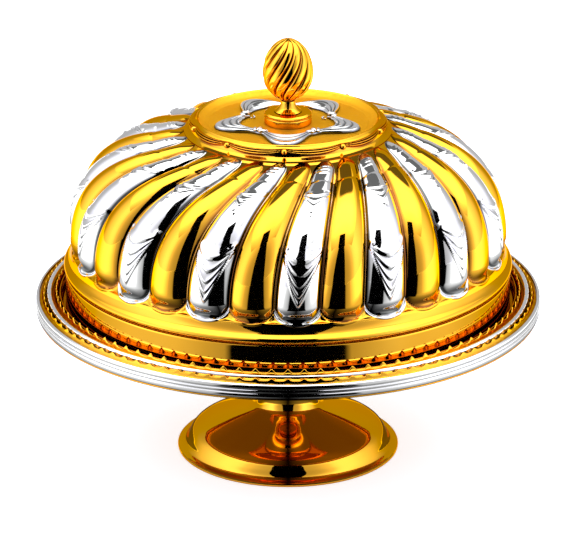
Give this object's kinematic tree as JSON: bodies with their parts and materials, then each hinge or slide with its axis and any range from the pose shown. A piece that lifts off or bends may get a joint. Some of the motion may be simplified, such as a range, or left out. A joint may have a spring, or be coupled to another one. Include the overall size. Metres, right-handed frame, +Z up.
{
  "type": "domed footed dish",
  "caption": "Footed round dish with a notched rim and a lift-off dome lid with swirled gadroons, crown plate and egg-shaped finial.",
  "frame": {"origin": "centre of the foot's underside, on the axis", "axes": "+Z up along the dish's axis; -Y is the side of the middle gadroon that the front view shows"},
  "size_m": [0.34, 0.34, 0.2898],
  "materials": {
    "gold": "polished gold plate",
    "matte_gold": "matte gold plate",
    "silver": "polished silver plate",
    "steel": "plain machined steel"
  },
  "bodies": {
    "stand": {"foot": "gold", "foot_neck": "gold", "stem_lower_ring": "gold", "stem_knop": "gold", "stem_upper_ring": "gold", "stem_cup": "gold", "dish": "gold", "rim_band": "silver", "rim_edge_wire": "gold", "outer_notched_ring": "gold", "silver_rib_ring": "silver", "inner_notched_ring": "gold", "well_wire": "gold", "centre_bolt": "steel", "foot_washer": "steel", "foot_nut": "steel"},
    "lid": {"lid_foot_ring": "gold", "dome_shell": "gold", "crown_plate": "matte_gold", "star_garland": "silver", "knob_base": "gold", "knob_cone": "gold", "finial": "gold", "lid_stud": "steel", "lid_washer": "steel", "lid_nut": "steel"}
  },
  "joints": [
    {"name": "lid_lift", "type": "slide", "parent": "stand", "child": "lid", "axis": [0, 0, 1], "range_m": [0, 0.16]}
  ]
}
